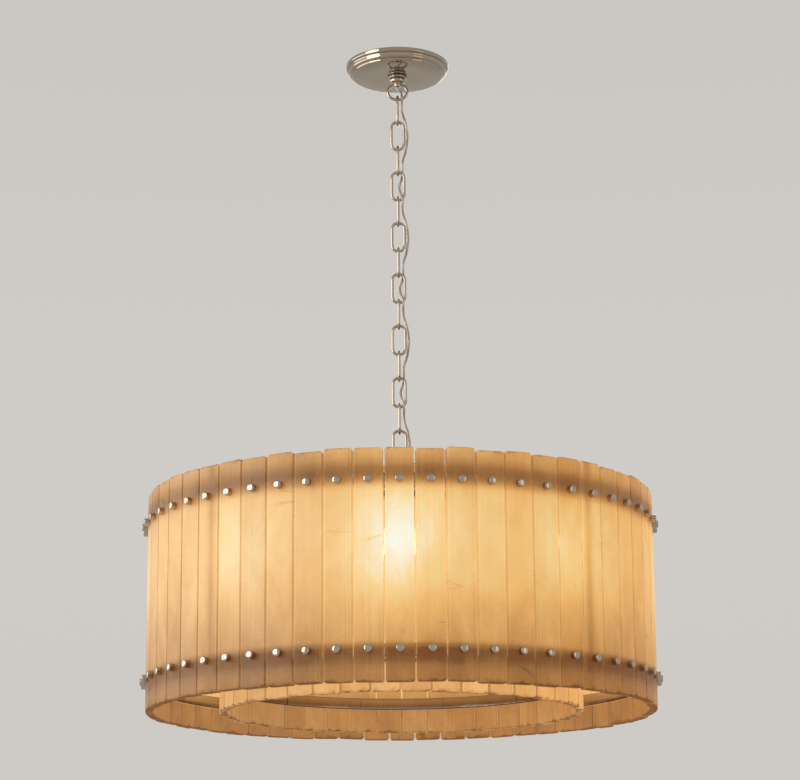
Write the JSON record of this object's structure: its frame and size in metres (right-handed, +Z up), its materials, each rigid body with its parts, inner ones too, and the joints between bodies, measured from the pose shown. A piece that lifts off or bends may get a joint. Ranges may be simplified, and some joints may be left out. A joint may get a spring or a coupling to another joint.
{
  "type": "alabaster chandelier",
  "caption": "Round two-tier drum chandelier: rings of alabaster slabs bolted to metal hoops, lit from inside, hung on a chain from a ceiling canopy.",
  "frame": {"origin": "middle of the ceiling bracket's top face, where it meets the ceiling", "axes": "+Z up along the chain, -Y towards the room's front as pictured, +X to the right"},
  "size_m": [0.7806, 0.7806, 1.0293],
  "materials": {
    "alabaster": "satin",
    "polished_nickel": "polished",
    "nickel_plated_steel": "satin",
    "zinc_plated_steel": "satin",
    "clear_lead": "gloss",
    "porcelain": "gloss",
    "opal_bulb": "satin"
  },
  "bodies": {
    "ceiling": {"ceiling_bracket": "zinc_plated_steel", "threaded_stem": "zinc_plated_steel", "canopy": "polished_nickel", "canopy_loop": "polished_nickel", "chain_lead": "clear_lead"},
    "collar": {"canopy_collar": "polished_nickel"},
    "link_01": {"chain_link_01": "polished_nickel"},
    "link_02": {"chain_link_02": "polished_nickel"},
    "link_03": {"chain_link_03": "polished_nickel"},
    "link_04": {"chain_link_04": "polished_nickel"},
    "link_05": {"chain_link_05": "polished_nickel"},
    "link_06": {"chain_link_06": "polished_nickel"},
    "link_07": {"chain_link_07": "polished_nickel"},
    "link_08": {"chain_link_08": "polished_nickel"},
    "link_09": {"chain_link_09": "polished_nickel"},
    "link_10": {"chain_link_10": "polished_nickel"},
    "link_11": {"chain_link_11": "polished_nickel"},
    "link_12": {"chain_link_12": "polished_nickel"},
    "link_13": {"chain_link_13": "polished_nickel"},
    "link_14": {"chain_link_14": "polished_nickel"},
    "drum": {"hub_loop": "polished_nickel", "hub": "nickel_plated_steel", "hub_nut": "nickel_plated_steel", "arm_1": "nickel_plated_steel", "arm_2": "nickel_plated_steel", "arm_3": "nickel_plated_steel", "arm_4": "nickel_plated_steel", "outer_top_hoop": "polished_nickel", "outer_bottom_hoop": "polished_nickel", "inner_top_hoop": "polished_nickel", "inner_bottom_hoop": "polished_nickel", "lamp_plate": "nickel_plated_steel", "post_1": "polished_nickel", "post_2": "polished_nickel", "post_3": "polished_nickel", "post_4": "polished_nickel", "socket_1": "porcelain", "socket_2": "porcelain", "socket_3": "porcelain", "socket_4": "porcelain", "socket_5": "porcelain", "socket_6": "porcelain", "socket_7": "porcelain", "socket_8": "porcelain", "outer_slabs_1": "alabaster", "outer_slabs_2": "alabaster", "outer_slabs_3": "alabaster", "outer_slabs_4": "alabaster", "inner_slabs_1": "alabaster", "inner_slabs_2": "alabaster", "inner_slabs_3": "alabaster", "inner_slabs_4": "alabaster"},
    "bulb_1": {"bulb_1": "opal_bulb"},
    "bulb_2": {"bulb_2": "opal_bulb"},
    "bulb_3": {"bulb_3": "opal_bulb"},
    "bulb_4": {"bulb_4": "opal_bulb"},
    "bulb_5": {"bulb_5": "opal_bulb"},
    "bulb_6": {"bulb_6": "opal_bulb"},
    "bulb_7": {"bulb_7": "opal_bulb"},
    "bulb_8": {"bulb_8": "opal_bulb"}
  },
  "joints": [
    {"name": "collar_turn", "type": "hinge", "parent": "ceiling", "child": "collar", "pos_m": [0, 0, -0.024], "axis": [0, 0, 1], "continuous": true},
    {"name": "link_01_swing", "type": "hinge", "parent": "ceiling", "child": "link_01", "pos_m": [0, 0, -0.0575], "axis": [1, 0, 0], "range_deg": [-45, 45], "deforming": ["chain_lead"]},
    {"name": "link_02_swing", "type": "hinge", "parent": "link_01", "child": "link_02", "pos_m": [0, 0, -0.0992], "axis": [0, 1, 0], "range_deg": [-45, 45]},
    {"name": "link_03_swing", "type": "hinge", "parent": "link_02", "child": "link_03", "pos_m": [0, 0, -0.1409], "axis": [-1, 0, 0], "range_deg": [-45, 45]},
    {"name": "link_04_swing", "type": "hinge", "parent": "link_03", "child": "link_04", "pos_m": [0, 0, -0.1826], "axis": [0, -1, 0], "range_deg": [-45, 45]},
    {"name": "link_05_swing", "type": "hinge", "parent": "link_04", "child": "link_05", "pos_m": [0, 0, -0.2243], "axis": [1, 0, 0], "range_deg": [-45, 45]},
    {"name": "link_06_swing", "type": "hinge", "parent": "link_05", "child": "link_06", "pos_m": [0, 0, -0.266], "axis": [0, 1, 0], "range_deg": [-45, 45]},
    {"name": "link_07_swing", "type": "hinge", "parent": "link_06", "child": "link_07", "pos_m": [0, 0, -0.3077], "axis": [-1, 0, 0], "range_deg": [-45, 45]},
    {"name": "link_08_swing", "type": "hinge", "parent": "link_07", "child": "link_08", "pos_m": [0, 0, -0.3494], "axis": [0, -1, 0], "range_deg": [-45, 45]},
    {"name": "link_09_swing", "type": "hinge", "parent": "link_08", "child": "link_09", "pos_m": [0, 0, -0.3911], "axis": [1, 0, 0], "range_deg": [-45, 45]},
    {"name": "link_10_swing", "type": "hinge", "parent": "link_09", "child": "link_10", "pos_m": [0, 0, -0.4328], "axis": [0, 1, 0], "range_deg": [-45, 45]},
    {"name": "link_11_swing", "type": "hinge", "parent": "link_10", "child": "link_11", "pos_m": [0, 0, -0.4745], "axis": [-1, 0, 0], "range_deg": [-45, 45]},
    {"name": "link_12_swing", "type": "hinge", "parent": "link_11", "child": "link_12", "pos_m": [0, 0, -0.5162], "axis": [0, -1, 0], "range_deg": [-45, 45]},
    {"name": "link_13_swing", "type": "hinge", "parent": "link_12", "child": "link_13", "pos_m": [0, 0, -0.5579], "axis": [1, 0, 0], "range_deg": [-45, 45]},
    {"name": "link_14_swing", "type": "hinge", "parent": "link_13", "child": "link_14", "pos_m": [0, 0, -0.5996], "axis": [0, 1, 0], "range_deg": [-45, 45]},
    {"name": "drum_swing", "type": "hinge", "parent": "link_14", "child": "drum", "pos_m": [0, 0, -0.6413], "axis": [-1, 0, 0], "range_deg": [-45, 45]},
    {"name": "bulb_1_draw", "type": "slide", "parent": "drum", "child": "bulb_1", "axis": [0, 0, -1], "range_m": [0, 0.026]},
    {"name": "bulb_2_draw", "type": "slide", "parent": "drum", "child": "bulb_2", "axis": [0, 0, -1], "range_m": [0, 0.026]},
    {"name": "bulb_3_draw", "type": "slide", "parent": "drum", "child": "bulb_3", "axis": [0, 0, -1], "range_m": [0, 0.026]},
    {"name": "bulb_4_draw", "type": "slide", "parent": "drum", "child": "bulb_4", "axis": [0, 0, -1], "range_m": [0, 0.026]},
    {"name": "bulb_5_draw", "type": "slide", "parent": "drum", "child": "bulb_5", "axis": [0, 0, -1], "range_m": [0, 0.026]},
    {"name": "bulb_6_draw", "type": "slide", "parent": "drum", "child": "bulb_6", "axis": [0, 0, -1], "range_m": [0, 0.026]},
    {"name": "bulb_7_draw", "type": "slide", "parent": "drum", "child": "bulb_7", "axis": [0, 0, -1], "range_m": [0, 0.026]},
    {"name": "bulb_8_draw", "type": "slide", "parent": "drum", "child": "bulb_8", "axis": [0, 0, -1], "range_m": [0, 0.026]}
  ]
}
